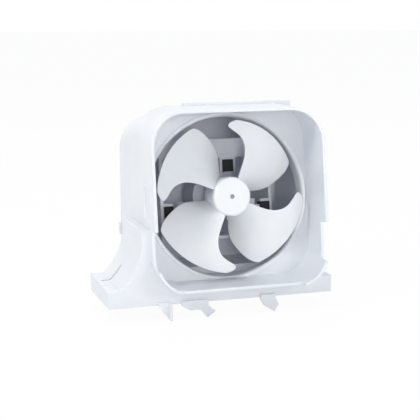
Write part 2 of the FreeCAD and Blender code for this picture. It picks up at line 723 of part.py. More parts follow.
sleeve_half = "tooth_width / 2 + sleeve_thickness"
sleeve_front = stack_front + " - sleeve_thickness"
sleeve_back = stack_back + " + sleeve_thickness"
sleeve_end = "case_radius - case_wall - yoke_width"
frame_ring = cut(
    "frame_ring", rod("frame_ring_out", "case_radius - case_wall - 0.3", sleeve_front, stack_front),
    rod("frame_ring_in", sleeve_end + " - 0.5", sleeve_front + " - 1", stack_front + " + 1"),
)
sleeves = cut(
    "sleeves", crossed("sleeve_bars", sleeve_end + " - 0.3", sleeve_half, sleeve_front, sleeve_back),
    rod("sleeve_room", bore_radius + " + shoe_thickness", sleeve_front + " - 1", sleeve_back + " + 1"),
    crossed("tooth_room", "case_radius", "tooth_width / 2", stack_front, stack_back),
)
shown(lean(fuse("coil_frame_made", frame_ring, sleeves)), "coil_frame")

outer_half_width = sleeve_half + " + winding_thickness"
for n, (across, x0, x1) in enumerate((
    (False, "winding_start", "winding_end"), (True, "winding_start", "winding_end"),
    (False, "-winding_end", "-winding_start"), (True, "-winding_end", "-winding_start"),
), start=1):
    spans = []
    for name, half, z0, z1, spare in (
        ("outside", outer_half_width, sleeve_front + " - winding_thickness", sleeve_back + " + winding_thickness", ""),
        ("inside", sleeve_half, sleeve_front, sleeve_back, "1"),
    ):
        lo, hi = (x0 + " - 1", x1 + " + 1") if spare else (x0, x1)
        label = "winding_%s_%d" % (name, n)
        if across:
            spans.append(box(label, "-(" + half + ")", half, lo, hi, z0, z1))
        else:
            spans.append(box(label, lo, hi, "-(" + half + ")", half, z0, z1))
    shown(lean(cut("winding_made_%d" % n, spans[0], spans[1])), "winding_%d" % n)

# The circuit board behind the rotor, round the rear bearing's boss.
ring("circuit_board", "rear_boss_radius", "case_radius - case_wall - board_margin", board_front, board_back)
chip = box("chip_block", "-12.5", "-7.5", "-3", "3", board_back, board_back + " + 1.8")
shown(lean(group("chip_made", chip)), "driver_chip")
turned("capacitor", [("0", board_back), ("2.5", board_back), ("2.5", board_back + " + 3.2"), ("0", board_back + " + 3.2")], "9", "-6.5")
sensor = box("sensor_block", "5.2", "8.2", "5.2", "8.2", board_front + " - 1.4", board_front)
shown(lean(group("sensor_made", sensor)), "hall_sensor")

socket_body = box("socket_body", "-socket_half_width", "socket_half_width", "socket_top", "socket_bottom", board_back, inner_wall)
socket_room = box(
    "socket_room", "-socket_half_width + 1.1", "socket_half_width - 1.1", "socket_top + 3", "socket_bottom + 1",
    board_back + " + 0.8", inner_wall + " - 0.8",
)
pin_middle = "(" + board_back + " + " + inner_wall + ") / 2"
PINS = [("left", "-pin_pitch"), ("middle", "0"), ("right", "pin_pitch")]


def pin_box(name, x):
    return box(
        name, x + " - pin_side / 2", x + " + pin_side / 2", "socket_top + 1", "socket_bottom - 2",
        pin_middle + " - pin_side / 2", pin_middle + " + pin_side / 2",
    )


socket = cut("socket_made", socket_body, socket_room, *[pin_box("pin_way_" + n, x) for n, x in PINS])
shown(lean(socket), "connector_socket")
for n, x in PINS:
    shown(lean(group("pin_made_" + n, pin_box("pin_block_" + n, x))), "connector_pin_" + n)

# The fan: a cup-shaped hub and four blades swept forward like thumbs.
hub_back = "hub_depth + hub_length"
hub = turned("hub", [
    ("shaft_radius", "hub_depth"), ("hub_radius - hub_round", "hub_depth"),
    ("hub_radius - 0.5 * hub_round", "hub_depth + 0.134 * hub_round"),
    ("hub_radius - 0.134 * hub_round", "hub_depth + 0.5 * hub_round"),
    ("hub_radius", "hub_depth + hub_round"), ("hub_radius", hub_back), ("hub_radius - hub_wall", hub_back),
    ("hub_radius - hub_wall", "hub_depth + hub_wall"), ("hub_boss_radius", "hub_depth + hub_wall"),
    ("hub_boss_radius", hub_back + " - 2"), ("shaft_radius", hub_back + " - 2"),
], final=False)
hub_ribs = cut(
    "hub_ribs",
    crossed("hub_rib_bars", "hub_radius - hub_wall / 2", "hub_rib / 2", "hub_depth + hub_wall / 2", hub_back + " - 8"),
    rod("hub_rib_room", "hub_boss_radius - 0.5", "hub_depth", hub_back),
)

# A blade's outline, seen from the front.  Each pair is a share of the way from the hub to the tip
# and a share of the edge's sweep.
LEADING_EDGE = [(0.2, 0.04), (0.42, 0.1), (0.6, 0.27), (0.7, 0.45), (0.8, 0.78), (0.9, 1), (0.98, 0.8), (1.02, 0.35)]
TRAILING_EDGE = [(1.02, 1.6), (0.95, 1), (0.84, 0.74), (0.69, 0.48), (0.52, 0.19), (0.32, 0.02), (0.15, 0.1)]
# The net that the blade's two faces pass through, a little larger than its outline.
NET_OUT = [-0.07, 0.22, 0.5, 0.78, 1.05]
NET_ALONG = [-0.2, 0.15, 0.5, 0.85, 1.2]


def polar(radius, degrees, depth):
    return Vector(radius * math.cos(math.radians(degrees)), -radius * math.sin(math.radians(degrees)), depth)


def blade_outline():
    hub_r, tip_r = value("hub_radius"), value("tip_radius")
    root = value("hub_radius - 0.7 * hub_wall")
    depth = value("hub_depth - 5")
    lead, tail = value("blade_lead_angle"), value("blade_tail_angle")
    lead_sweep, tail_sweep = value("blade_lead_sweep"), value("blade_tail_sweep")
    front = [polar(root, lead, depth)]
    front += [polar(hub_r + (tip_r - hub_r) * out, lead + lead_sweep * share, depth) for out, share in LEADING_EDGE]
    back = [polar(hub_r + (tip_r - hub_r) * out, tail + tail_sweep * share, depth) for out, share in TRAILING_EDGE]
    back.append(polar(root, tail + 0.3 * tail_sweep, depth))
    lead_edge = Part.BSplineCurve()
    lead_edge.interpolate(Points=front)
    tail_edge = Part.BSplineCurve()
    tail_edge.interpolate(Points=back)
    outside = Vector(front[-1].x, front[-1].y, 0).Length
    outside_arc = Part.Arc(front[-1], polar(outside, (lead + tail + lead_sweep + tail_sweep) / 2, depth), back[0])
    root_arc = Part.Arc(back[-1], polar(root, (lead + tail + 0.3 * tail_sweep) / 2, depth), front[0])
    wire = Part.Wire([lead_edge.toShape(), outside_arc.toShape(), tail_edge.toShape(), root_arc.toShape()])
    prism = Part.Face(wire).extrude(Vector(0, 0, value("blade_root_drop + hub_length")))
    disc = Part.makeCylinder(tip_r, value("blade_root_drop + hub_length"), Vector(0, 0, depth))
    return prism.common(disc)


def blade_sheet():
    hub_r, tip_r = value("hub_radius"), value("tip_radius")
    faces, borders = [], []
    for side in (-1, 1):
        net = []
        for out in NET_OUT:
            lead = value("blade_lead_angle") + value("blade_lead_sweep") * out * abs(out)
            tail = value("blade_tail_angle") + value("blade_tail_sweep") * 0.8 * out
            drop = value("blade_root_drop + (blade_tip_drop - blade_root_drop) * %g" % out)
            thick = value("blade_root_thickness + (blade_tip_thickness - blade_root_thickness) * %g" % out)
            row = []
            for along in NET_ALONG:
                middle = value("hub_depth + blade_front_sink") + thick / 2 + drop * (0.62 * along + 0.38 * along ** 2)
                half = thick / 2 * (0.62 + 0.38 * math.sin(math.pi * along))
                row.append(polar(hub_r + (tip_r - hub_r) * out, lead + (tail - lead) * along, middle + side * half))
            net.append(row)
        surface = Part.BSplineSurface()
        surface.interpolate(net)
        faces.append(surface.toShape())
        u0, u1, v0, v1 = surface.bounds()
        borders.append([surface.uIso(u0), surface.uIso(u1), surface.vIso(v0), surface.vIso(v1)])
    for first, second in zip(*borders):
        faces.append(Part.makeRuledSurface(first.toShape(), second.toShape()))
    skin = Part.makeShell(faces)
    skin.sewShape()
    made = Part.makeSolid(skin)
    if made.Volume < 0:
        made.reverse()
    return made


blade_form = blade_sheet().common(blade_outline())
blades = []
for n in range(BLADES):
    blade = doc.addObject("Part::Feature", "blade_%d" % (n + 1))
    blade.Shape = blade_form
    blade.Placement = Placement(Vector(0, 0, 0), Rotation(Vector(0, 0, 1), -360.0 / BLADES * n))
    blades.append(blade)
fan = lean(fuse("fan_made", hub, hub_ribs, *blades))
shown(fan, "fan")
ring("hub_clip", "hub_boss_radius", "hub_boss_radius + clip_thickness", hub_back + " - 6.5", hub_back + " - 3.5")

doc.recompute()
for thing in doc.Objects:
    assert "Invalid" not in thing.State and "Error" not in thing.State, (thing.Name, thing.State)

os.makedirs("parts", exist_ok=True)
for thing in finished:
    shape = thing.Shape
    assert not shape.isNull() and shape.isValid(), thing.Label
    assert len(shape.Solids) == 1, (thing.Label, len(shape.Solids))
for thing in finished:
    thing.Shape.exportStep("parts/%s.step" % thing.Label)
    low, high = thing.Shape.BoundBox.ZMin, thing.Shape.BoundBox.ZMax
    print("%-24s volume %9.1f  z %7.2f to %7.2f" % (thing.Label, thing.Shape.Volume, low, high))
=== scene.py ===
import json
import math

import bpy
import numpy as np
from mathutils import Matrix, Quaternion, Vector


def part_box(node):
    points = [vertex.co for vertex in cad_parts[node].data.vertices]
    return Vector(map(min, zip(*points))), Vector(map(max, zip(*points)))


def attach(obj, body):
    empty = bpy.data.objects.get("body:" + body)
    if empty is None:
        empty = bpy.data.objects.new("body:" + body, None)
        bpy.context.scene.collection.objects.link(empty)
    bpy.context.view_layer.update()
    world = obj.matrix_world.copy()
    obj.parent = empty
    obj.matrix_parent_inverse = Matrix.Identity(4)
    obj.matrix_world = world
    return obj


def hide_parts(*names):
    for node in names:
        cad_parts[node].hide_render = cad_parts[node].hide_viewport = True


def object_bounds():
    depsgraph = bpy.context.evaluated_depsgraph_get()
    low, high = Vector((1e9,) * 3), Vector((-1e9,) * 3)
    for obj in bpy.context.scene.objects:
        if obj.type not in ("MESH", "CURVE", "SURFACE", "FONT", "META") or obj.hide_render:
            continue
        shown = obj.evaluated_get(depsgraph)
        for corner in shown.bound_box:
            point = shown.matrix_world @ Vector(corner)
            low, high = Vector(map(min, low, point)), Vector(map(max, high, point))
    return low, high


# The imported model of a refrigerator's fan motor: a fan on a small brushless motor, in a duct that leans back.
# Its box is kept as it is before the model is dressed.
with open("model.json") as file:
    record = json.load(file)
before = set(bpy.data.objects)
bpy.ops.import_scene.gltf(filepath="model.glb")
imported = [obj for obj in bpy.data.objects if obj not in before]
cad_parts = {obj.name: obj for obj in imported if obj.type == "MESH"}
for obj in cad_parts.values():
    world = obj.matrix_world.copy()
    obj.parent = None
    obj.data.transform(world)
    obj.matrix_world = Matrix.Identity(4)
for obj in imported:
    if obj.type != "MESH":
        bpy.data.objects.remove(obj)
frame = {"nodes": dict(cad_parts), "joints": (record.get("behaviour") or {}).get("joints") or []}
cad_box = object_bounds()

# The photographer stood to the left of the mouth and a little above it, with a long lens, and the camera hung
# a hair out of level.  The view has no shift and everything in it is sharp.
CAMERA_PLACE = Vector((-0.2473, -0.7608, 0.2008))
CAMERA_AIM = Vector((-0.01109, 0, 0.05963))
LENS_MM = 95.96
SENSOR_MM = 36
ROLL_DEGREES = -0.28

camera_data = bpy.data.cameras.new("photograph_view")
camera_data.lens = LENS_MM
camera_data.sensor_width = SENSOR_MM
camera_data.dof.use_dof = False
camera = bpy.data.objects.new("photograph_view", camera_data)
bpy.context.scene.collection.objects.link(camera)
camera.location = CAMERA_PLACE
camera.rotation_mode = "QUATERNION"
level_view = (CAMERA_AIM - CAMERA_PLACE).to_track_quat("-Z", "Y")
camera.rotation_quaternion = level_view @ Quaternion((0, 0, 1), math.radians(ROLL_DEGREES))
bpy.context.scene.camera = camera

# The shroud: duct, leaning mouth, fan plate with its bell mouth, and the hollow foot with its flared side.
# It is one injection moulding in white ABS, taken from a polished tool, and it snaps into the cabinet by the
# hooks under its front edge.
MM = 0.001
SHROUD_WHITE = "#e2e5ea"
SHROUD_SHADE = "#dfe3e9"
ABS_IOR = 1.53
ABS_ROUGHNESS = (0.25, 0.37)
FLOW_SIZE = 26 * MM
SHEEN_SIZE = 4 * MM
ORANGE_PEEL_SIZE = 0.9 * MM
ORANGE_PEEL_HEIGHT = 0.012 * MM
MOULDED_EDGE = 0.35 * MM
WHITE_PLASTIC_MILK = 0.4
WHITE_PLASTIC_DEPTH = 3 * MM
MILK_BY_COLOUR = (0.95, 0.95, 1.05)
SHARP_EDGE = math.radians(32)
SAME_SPOT = 0.002 * MM
NO_LENGTH = 1e-12


def colour(hexed):
    """A written sRGB colour as the linear colour that the shader takes."""
    parts = [int(hexed[i:i + 2], 16) / 255 for i in (1, 3, 5)]
    linear = [p / 12.92 if p <= 0.04045 else ((p + 0.055) / 1.055) ** 2.4 for p in parts]
    return (*linear, 1)


def add(tree, kind, settings, links=None):
    """Adds one node, sets its properties or sockets, and links its sockets to the outputs given."""
    made = tree.nodes.new(kind)
    for name, value in settings.items():
        if isinstance(name, int) or name in made.inputs:
            made.inputs[name].default_value = value
        else:
            setattr(made, name, value)
    for name, output in (links or {}).items():
        tree.links.new(output, made.inputs[name])
    return made


def new_material(name, *sizes):
    """An empty material with its nodes, its shader and the place of each point in metres.

    After these come patterns of soft random spots, one for each size in metres and level of detail given.
    """
    material = bpy.data.materials.new(name)
    material.use_nodes = True
    tree = material.node_tree
    tree.nodes.clear()
    shader = add(tree, "ShaderNodeBsdfPrincipled", {})
    add(tree, "ShaderNodeOutputMaterial", {}, {"Surface": shader.outputs["BSDF"]})
    place = add(tree, "ShaderNodeTexCoord", {}).outputs["Object"]
    patterns = []
    for size, detail in sizes:
        spots = add(tree, "ShaderNodeTexNoise", {"Scale": 1 / size, "Detail": detail}, {"Vector": place})
        patterns.append(spots.outputs["Fac"])
    return material, tree, shader, place, *patterns


def tinted(tree, shader, pattern, first, second, span=(0.35, 0.65)):
    """Lets the surface's colour drift from one to another while the pattern passes through the span."""
    low, high = span
    spread = add(tree, "ShaderNodeMapRange", {"From Min": low, "From Max": high}, {"Value": pattern})
    mixed = add(
        tree, "ShaderNodeMix", {"data_type": "RGBA", 6: colour(first), 7: colour(second)},
        {0: spread.outputs["Result"]},
    )
    tree.links.new(mixed.outputs[2], shader.inputs["Base Color"])


def polished(tree, shader, pattern, roughness):
    """Lets the roughness drift between the two values given."""
    low, high = roughness
    spread = add(tree, "ShaderNodeMapRange", {"To Min": low, "To Max": high}, {"Value": pattern})
    tree.links.new(spread.outputs["Result"], shader.inputs["Roughness"])


def pitted(tree, shader, pattern, height, strength=1, edge=0):
    """Raises and sinks the surface by a height in metres, over edges rounded as the tool rounds them."""
    bump = add(tree, "ShaderNodeBump", {"Distance": height, "Strength": strength}, {"Height": pattern})
    if edge:
        rounded = add(tree, "ShaderNodeBevel", {"samples": 4, "Radius": edge})
        tree.links.new(rounded.outputs["Normal"], bump.inputs["Normal"])
    tree.links.new(bump.outputs["Normal"], shader.inputs["Normal"])


def milky(shader, weight, depth):
    """Lets light in and back out over a depth in metres, a little further for blue."""
    shader.inputs["Subsurface Weight"].default_value = weight
    shader.inputs["Subsurface Radius"].default_value = MILK_BY_COLOUR
    shader.inputs["Subsurface Scale"].default_value = depth


def smooth(piece):
    """Shades the piece round wherever its faces meet at less than the sharp angle."""
    mesh = piece.data
    faces = len(mesh.polygons)
    loops = len(mesh.loops)
    corners = np.empty(len(mesh.vertices) * 3)
    mesh.vertices.foreach_get("co", corners)
    rounded_off = np.round(corners.reshape(-1, 3) / SAME_SPOT).astype(np.int64)
    spots = np.unique(rounded_off, axis=0, return_inverse=True)[1].reshape(-1)
    facing = np.empty(faces * 3)
    mesh.polygons.foreach_get("normal", facing)
    facing = facing.reshape(-1, 3)
    areas = np.empty(faces)
    mesh.polygons.foreach_get("area", areas)
    used = np.empty(loops, dtype=np.int64)
    mesh.loops.foreach_get("vertex_index", used)
    sizes = np.empty(faces, dtype=np.int64)
    mesh.polygons.foreach_get("loop_total", sizes)
    face_of = np.repeat(np.arange(faces), sizes)
    spot_of = spots[used]
    order = np.argsort(spot_of, kind="stable")
    starts = np.searchsorted(spot_of[order], np.arange(spot_of.max() + 2))
    turned_less = math.cos(SHARP_EDGE)
    normals = np.empty((loops, 3))
    for spot in range(len(starts) - 1):
        here = order[starts[spot]:starts[spot + 1]]
        around = face_of[here]
        close = facing[around] @ facing[around].T > turned_less
        normals[here] = close @ (facing[around] * areas[around, None])
    normals /= np.maximum(np.linalg.norm(normals, axis=1, keepdims=True), NO_LENGTH)
    mesh.polygons.foreach_set("use_smooth", np.ones(faces, dtype=bool))
    mesh.normals_split_custom_set(normals.tolist())


def dress(node, material):
    """Gives a node of the frame its finish and its round shading."""
    piece = frame["nodes"][node]
    smooth(piece)
    for slot in piece.material_slots:
        slot.material = material


# Moulded ABS: an even, cool white with a soft gloss, a faint orange peel and rounded edges.
housing_abs, tree, shader, place, flow, sheen, peel = new_material(
    "moulded_white_abs", (FLOW_SIZE, 2), (SHEEN_SIZE, 2), (ORANGE_PEEL_SIZE, 1),
)
shader.inputs["IOR"].default_value = ABS_IOR
milky(shader, WHITE_PLASTIC_MILK, WHITE_PLASTIC_DEPTH)
tinted(tree, shader, flow, SHROUD_WHITE, SHROUD_SHADE)
polished(tree, shader, sheen, ABS_ROUGHNESS)
pitted(tree, shader, peel, ORANGE_PEEL_HEIGHT, edge=MOULDED_EDGE)
dress("shroud", housing_abs)

# The three rubber mounts that carry the motor in its pocket and keep its hum out of the cabinet.
# They are blocks moulded in soft black nitrile rubber, slipped over the ends of the motor's arms and pushed
# into their seats.
RUBBER_BLACK = "#0c0d10"
RUBBER_BLOOM = "#17191d"
RUBBER_ROUGHNESS = (0.54, 0.72)
BLOOM_SIZE = 3 * MM
RUBBER_GRAIN_SIZE = 0.5 * MM
RUBBER_GRAIN_HEIGHT = 0.02 * MM
RUBBER_EDGE = 0.4 * MM

# Moulded rubber: nearly black and matt, with a grey bloom in patches.  Its grain is drawn at 0.5 mm, coarser
# than the real one, so that it shows.
mount_rubber, tree, shader, place, bloom, sheen, grain = new_material(
    "moulded_nitrile_rubber", (BLOOM_SIZE, 3), (BLOOM_SIZE, 2), (RUBBER_GRAIN_SIZE, 2),
)
tinted(tree, shader, bloom, RUBBER_BLACK, RUBBER_BLOOM)
polished(tree, shader, sheen, RUBBER_ROUGHNESS)
pitted(tree, shader, grain, RUBBER_GRAIN_HEIGHT, edge=RUBBER_EDGE)
for mount in ("rubber_mount_right", "rubber_mount_left", "rubber_mount_top"):
    dress(mount, mount_rubber)

# The motor's two half cases, which close over the stator and hold the bearings.  They are moulded in PBT with
# short glass fibre and drawn together by two screws through their lugs.
# The greyer white is the plastic's own; the lilac cast in both case colours is painted shade.
CASE_GREY_PAINTED_LILAC = "#dddfe9"
CASE_FIBRE_PAINTED_LILAC = "#d3d6e2"
PBT_IOR = 1.57
PBT_ROUGHNESS = (0.4, 0.52)
FIBRE_SIZE = 0.7 * MM
FIBRE_HEIGHT = 0.015 * MM
CASE_EDGE = 0.3 * MM

# Glass-filled PBT: a greyer white than the shroud, with a lilac cast that is painted shade, satin, with a faint
# mottle where fibres reach the surface.
# Such fibres are about 0.01 mm thick, and their mottle is drawn at 0.7 mm, so that it shows.
case_pbt, tree, shader, place, fibres, sheen, grain = new_material(
    "glass_filled_pbt", (FIBRE_SIZE, 3), (SHEEN_SIZE, 2), (FIBRE_SIZE, 2),
)
shader.inputs["IOR"].default_value = PBT_IOR
tinted(tree, shader, fibres, CASE_GREY_PAINTED_LILAC, CASE_FIBRE_PAINTED_LILAC)
polished(tree, shader, sheen, PBT_ROUGHNESS)
pitted(tree, shader, grain, FIBRE_HEIGHT, edge=CASE_EDGE)
for case in ("motor_front_case", "motor_rear_case"):
    dress(case, case_pbt)

# The motor's two case screws and, further on, the four of the rear cover: thread-forming pan heads with a cross
# recess, cold headed from mild steel and zinc plated.
ZINC_GREY = "#b4b7bb"
ZINC_DARK = "#93979d"
ZINC_ROUGHNESS = (0.28, 0.42)
PLATING_SIZE = 0.8 * MM
PLATING_HEIGHT = 0.004 * MM
SCREW_EDGE = 0.15 * MM

# Zinc-plated steel: a cool grey metal, half bright, clouded by the plating.  Its crystals are too fine to see,
# so the clouds are drawn at 0.8 mm and their grain at a third of that.
screw_zinc, tree, shader, place, clouds, sheen, grain = new_material(
    "zinc_plated_steel", (PLATING_SIZE, 3), (PLATING_SIZE, 2), (PLATING_SIZE / 3, 1),
)
shader.inputs["Metallic"].default_value = 1
tinted(tree, shader, clouds, ZINC_GREY, ZINC_DARK)
polished(tree, shader, sheen, ZINC_ROUGHNESS)
pitted(tree, shader, grain, PLATING_HEIGHT, edge=SCREW_EDGE)
for screw in ("case_screw_low", "case_screw_high"):
    dress(screw, screw_zinc)

# The stator core: a ring with four teeth, stacked from stamped sheets of electrical steel.
# The stack sits in the motor's case, and the edges of its sheets show as fine lines across the axle.
SHEET_GREY = "#7d8085"
SHEET_GAP = "#34373c"
SHEET_THICKNESS = 0.5 * MM
SHEET_STEP = 0.03 * MM
VARNISH_SPAN = (0.75, 0.9)
SHEET_CLOUD_SIZE = 1.5 * MM
SHEET_ROUGHNESS = (0.38, 0.55)
axle = Vector(frame["joints"][0]["axis"]).normalized()


def along(tree, place, direction, pitch):
    """A saw wave that runs from 0 to 1 over each pitch in metres along the direction."""
    reach = add(tree, "ShaderNodeVectorMath", {"operation": "DOT_PRODUCT", 1: direction}, {0: place})
    counted = add(tree, "ShaderNodeMath", {"operation": "DIVIDE", 1: pitch}, {0: reach.outputs["Value"]})
    return add(tree, "ShaderNodeMath", {"operation": "FRACT"}, {0: counted.outputs["Value"]}).outputs["Value"]


# Stamped electrical steel: dull grey sheets of 0.5 mm, with a dark line of varnish between each two.
stamped_steel, tree, shader, place, sheen = new_material("stamped_electrical_steel", (SHEET_CLOUD_SIZE, 3))
shader.inputs["Metallic"].default_value = 1
sheets = along(tree, place, axle, SHEET_THICKNESS)
tinted(tree, shader, sheets, SHEET_GREY, SHEET_GAP, VARNISH_SPAN)
polished(tree, shader, sheen, SHEET_ROUGHNESS)
pitted(tree, shader, sheets, SHEET_STEP)
dress("stator_core", stamped_steel)

# The coil frame, a thin ring with four sleeves that keep the windings off the steel.
# It is moulded in unfilled nylon, and its sleeves sit over the teeth of the core.
NYLON_CREAM = "#e6e1d2"
NYLON_WARM = "#ddd6c3"
NYLON_FLOW_SIZE = 6 * MM
NYLON_ROUGHNESS = (0.38, 0.48)
NYLON_MILK = 0.2
NYLON_DEPTH = 1.5 * MM
NYLON_EDGE = 0.2 * MM

# Natural nylon: a warm cream, satin and faintly see-through.
coil_nylon, tree, shader, place, flow, sheen, peel = new_material(
    "natural_nylon", (NYLON_FLOW_SIZE, 2), (SHEEN_SIZE, 2), (ORANGE_PEEL_SIZE, 1),
)
milky(shader, NYLON_MILK, NYLON_DEPTH)
tinted(tree, shader, flow, NYLON_CREAM, NYLON_WARM)
polished(tree, shader, sheen, NYLON_ROUGHNESS)
pitted(tree, shader, peel, ORANGE_PEEL_HEIGHT, edge=NYLON_EDGE)
dress("coil_frame", coil_nylon)

# The four windings, each wound turn by turn round a sleeve of the coil frame in enamelled copper wire.
# Real wire is about 0.1 mm: it is drawn as 0.4 mm, so that its turns show.
WIRE = 0.4 * MM
WIRE_FILL = 0.97
SLEEVE_HALF = 2.8 * MM
WINDING_WIDTH = 2.4 * MM
WINDING_BUILD = 2 * MM
CORNER_ROUND = 1.2 * MM
CORNER_LOSS = 0.2 * MM
CORNER_POINTS = 4
COPPER_BRIGHT = "#b8683a"
COPPER_DARK = "#8c4724"
COPPER_ROUGHNESS = (0.25, 0.4)
COPPER_TINT_SIZE = 1.2 * MM
COPPER_SHEEN_SIZE = 2 * MM
ENAMEL_HEIGHT = 0.004 * MM
ENAMEL_COAT = 0.6
ENAMEL_ROUGHNESS = 0.15
across = Vector((1, 0, 0))
upright = axle.cross(across).normalized()

# Enamelled copper: orange brown metal under a clear coat, each turn a shade off its neighbour.
enamelled_copper, tree, shader, place, tint, sheen, grain = new_material(
    "enamelled_copper_wire", (COPPER_TINT_SIZE, 2), (COPPER_SHEEN_SIZE, 2), (WIRE / 2, 1),
)
shader.inputs["Metallic"].default_value = 1
shader.inputs["Coat Weight"].default_value = ENAMEL_COAT
shader.inputs["Coat Roughness"].default_value = ENAMEL_ROUGHNESS
tinted(tree, shader, tint, COPPER_BRIGHT, COPPER_DARK)
polished(tree, shader, sheen, COPPER_ROUGHNESS)
pitted(tree, shader, grain, ENAMEL_HEIGHT)


def turn_path(middle, wide, deep, sideways, round_off):
    """One turn of wire: a rectangle with rounded corners, round the tooth that it sits on."""
    points = []
    for corner, (side, end) in enumerate(((1, 1), (-1, 1), (-1, -1), (1, -1))):
        for step in range(CORNER_POINTS):
            turned = math.radians(90 * (corner + step / (CORNER_POINTS - 1)))
            x = side * (wide - round_off) + round_off * math.cos(turned)
            y = end * (deep - round_off) + round_off * math.sin(turned)
            points.append(middle + sideways * x + axle * y)
    return points


turns = round(WINDING_WIDTH / WIRE)
layers = round(WINDING_BUILD / WIRE)
outer_wide = SLEEVE_HALF + WINDING_BUILD - WIRE / 2
for number, outward in enumerate((across, -upright, -across, upright), start=1):
    node = "winding_%d" % number
    low, high = (Vector(corner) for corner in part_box(node))
    centre = (low + high) / 2
    sideways = axle.cross(outward)
    reach = [(v.co - centre).dot(axle) for v in frame["nodes"][node].data.vertices]
    outer_deep = max(reach) - WIRE / 2
    wires = bpy.data.curves.new("wound_" + node, "CURVE")
    wires.dimensions = "3D"
    wires.bevel_depth = WIRE / 2 * WIRE_FILL
    wires.bevel_resolution = 1
    for turn in range(turns):
        middle = centre + outward * (WIRE * (turn + 0.5) - WINDING_WIDTH / 2)
        for layer in range(layers):
            # Between its two ends only the outer layer of a winding can be seen.
            if 0 < turn < turns - 1 and layer:
                continue
            sunk = layer * WIRE
            path = turn_path(
                middle, outer_wide - sunk, outer_deep - sunk, sideways, CORNER_ROUND - layer * CORNER_LOSS,
            )
            spline = wires.splines.new("POLY")
            spline.points.add(len(path) - 1)
            for point, spot in zip(spline.points, path):
                point.co = (*spot, 1)
            spline.use_cyclic_u = True
    winding = bpy.data.objects.new("wound_" + node, wires)
    bpy.context.scene.collection.objects.link(winding)
    wires.materials.append(enamelled_copper)
    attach(winding, "housing")
    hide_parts(node)

# The two plain bearings that the shaft turns in, one in each half case.  They are pressed from bronze powder,
# sintered and soaked in oil, so they are matt and full of fine pores.
BRONZE = "#a9793f"
BRONZE_PORE = "#6d4a25"
BRONZE_ROUGHNESS = (0.4, 0.55)
BRONZE_SHEEN_SIZE = 2 * MM
PORE_SIZE = 0.3 * MM
PORE_DEPTH = 0.01 * MM
PORE_SPAN = (0.3, 0.45)

# Sintered bronze: a dull yellow-brown metal with dark pores, drawn at 0.3 mm where real ones are about 0.05 mm.
sintered_bronze, tree, shader, place, pores, sheen = new_material(
    "sintered_bronze", (PORE_SIZE, 2), (BRONZE_SHEEN_SIZE, 2),
)
shader.inputs["Metallic"].default_value = 1
tinted(tree, shader, pores, BRONZE_PORE, BRONZE, PORE_SPAN)
polished(tree, shader, sheen, BRONZE_ROUGHNESS)
pitted(tree, shader, pores, PORE_DEPTH)
for bearing in ("front_bearing", "rear_bearing"):
    dress(bearing, sintered_bronze)

# The circuit board behind the rotor, a round glass-epoxy laminate.  Its solder mask is green, and copper tracks
# show through it as a lighter shade in a maze about as wide as the real tracks.
MASK_GREEN = "#17543a"
TRACK_GREEN = "#2a7a4f"
TRACK_PITCH = 2.2 * MM
TRACK_HEIGHT = 0.02 * MM
TRACK_SPAN = (0.08, 0.13)
MASK_FILL = 0.5
MASK_ROUGHNESS = (0.22, 0.34)
MASK_SHEEN_SIZE = 3 * MM

# Glass-epoxy board: glossy green, a step lighter over the tracks.  The mask evens out half of their height.
board_epoxy, tree, shader, place, sheen = new_material("glass_epoxy_board", (MASK_SHEEN_SIZE, 2))
cells = add(
    tree, "ShaderNodeTexVoronoi", {"feature": "DISTANCE_TO_EDGE", "Scale": 1 / TRACK_PITCH}, {"Vector": place},
).outputs["Distance"]
tinted(tree, shader, cells, TRACK_GREEN, MASK_GREEN, TRACK_SPAN)
polished(tree, shader, sheen, MASK_ROUGHNESS)
pitted(tree, shader, cells, TRACK_HEIGHT, strength=MASK_FILL)
dress("circuit_board", board_epoxy)

# The driver chip, and the sensor that reads the poles of the magnet.  Each is silicon sealed in moulded black
# epoxy and soldered to the board.
CHIP_BLACK = "#17181b"
CHIP_GREY = "#222428"
CHIP_ROUGHNESS = (0.5, 0.62)
CHIP_SHEEN_SIZE = 1 * MM
GRIT_SIZE = 0.25 * MM
GRIT_HEIGHT = 0.008 * MM

# Moulded epoxy: a matt black with the grit of its filler, drawn at 0.25 mm, coarser than the real grit.
chip_epoxy, tree, shader, place, grit, sheen = new_material(
    "moulded_chip_epoxy", (GRIT_SIZE, 2), (CHIP_SHEEN_SIZE, 2),
)
tinted(tree, shader, grit, CHIP_BLACK, CHIP_GREY)
polished(tree, shader, sheen, CHIP_ROUGHNESS)
pitted(tree, shader, grit, GRIT_HEIGHT)
for chip in ("driver_chip", "hall_sensor"):
    dress(chip, chip_epoxy)

# The smoothing capacitor, a roll of foil in a can that stands on the board and is soldered to it.
# The can is deep drawn from aluminium and crimped shut over a rubber plug.
CAN_BRIGHT = "#c3c6ca"
CAN_SHADE = "#a4a8ad"
CAN_ROUGHNESS = (0.22, 0.36)
CAN_TINT_SIZE = 2 * MM
CAN_SHEEN_SIZE = 1 * MM
DRAW_LINE_PITCH = 0.25 * MM
DRAW_LINE_DEPTH = 0.003 * MM

# Drawn aluminium: bright and even, with lines round the can from the drawing die.  They are drawn 0.25 mm
# apart, wider than the real ones, so that they show.
can_aluminium, tree, shader, place, tint, sheen = new_material(
    "drawn_aluminium", (CAN_TINT_SIZE, 2), (CAN_SHEEN_SIZE, 2),
)
shader.inputs["Metallic"].default_value = 1
tinted(tree, shader, tint, CAN_BRIGHT, CAN_SHADE)
polished(tree, shader, sheen, CAN_ROUGHNESS)
pitted(tree, shader, along(tree, place, axle, DRAW_LINE_PITCH), DRAW_LINE_DEPTH)
dress("capacitor", can_aluminium)

